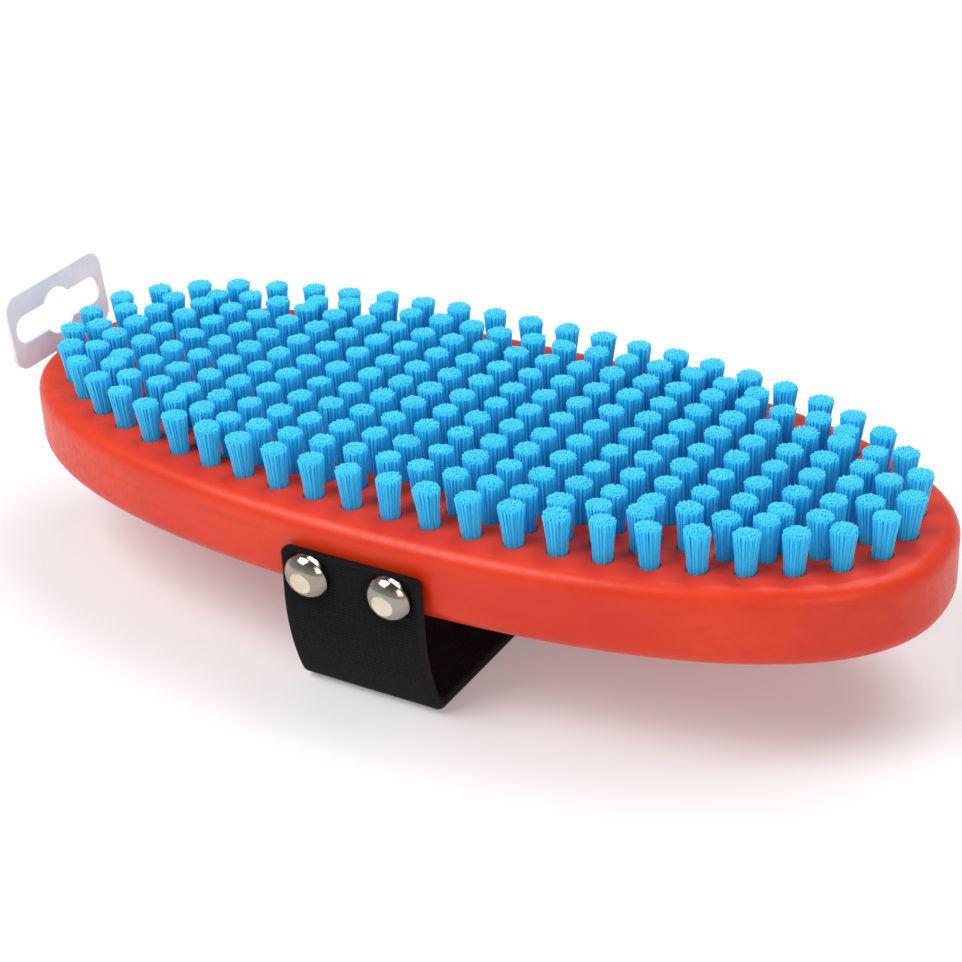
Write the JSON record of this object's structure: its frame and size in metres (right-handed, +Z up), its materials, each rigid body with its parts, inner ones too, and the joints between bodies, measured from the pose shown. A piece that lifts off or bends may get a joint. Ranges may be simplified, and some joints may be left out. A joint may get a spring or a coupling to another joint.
{
  "type": "oval hand brush with strap",
  "caption": "Oval hand brush for grooming: lacquered block, stiff blue nylon tufts, black hand strap on domed studs and a hang tab.",
  "frame": {"origin": "on the flat underside of the strap, below the middle of the block; the brush rests there with its tufts up", "axes": "+X along the block's long axis, away from the hang tab; +Z up, the way the tufts point; +Y across the block"},
  "size_m": [0.1947, 0.093, 0.0495],
  "materials": {
    "red_lacquer": "smooth orange-red lacquer, satin to gloss",
    "blue_nylon": "bundles of fine light blue nylon filament, trimmed flat",
    "black_webbing": "dense matt black webbing with clean cut edges",
    "bright_chrome": "polished nickel-chrome plate",
    "clear_white_plastic": "frosted translucent white sheet"
  },
  "bodies": {
    "brush": {"brush_block": "red_lacquer", "hand_strap": "black_webbing", "tab_screw": "bright_chrome", "strap_stud_near_left": "bright_chrome", "strap_stud_near_right": "bright_chrome", "strap_stud_far_left": "bright_chrome", "strap_stud_far_right": "bright_chrome", "tuft_row_1": "blue_nylon", "tuft_row_2": "blue_nylon", "tuft_row_3": "blue_nylon", "tuft_row_4": "blue_nylon", "tuft_row_5": "blue_nylon", "tuft_row_6": "blue_nylon", "tuft_row_7": "blue_nylon", "tuft_row_8": "blue_nylon", "tuft_row_9": "blue_nylon", "tuft_ring_1": "blue_nylon", "tuft_ring_2": "blue_nylon", "tuft_ring_3": "blue_nylon", "tuft_ring_4": "blue_nylon", "tuft_ring_5": "blue_nylon"},
    "tab": {"hang_tab": "clear_white_plastic"}
  },
  "joints": [
    {"name": "tab_swivel", "type": "hinge", "parent": "brush", "child": "tab", "pos_m": [-0.0966, 0, 0.0281], "axis": [1, 0, 0], "continuous": true}
  ]
}
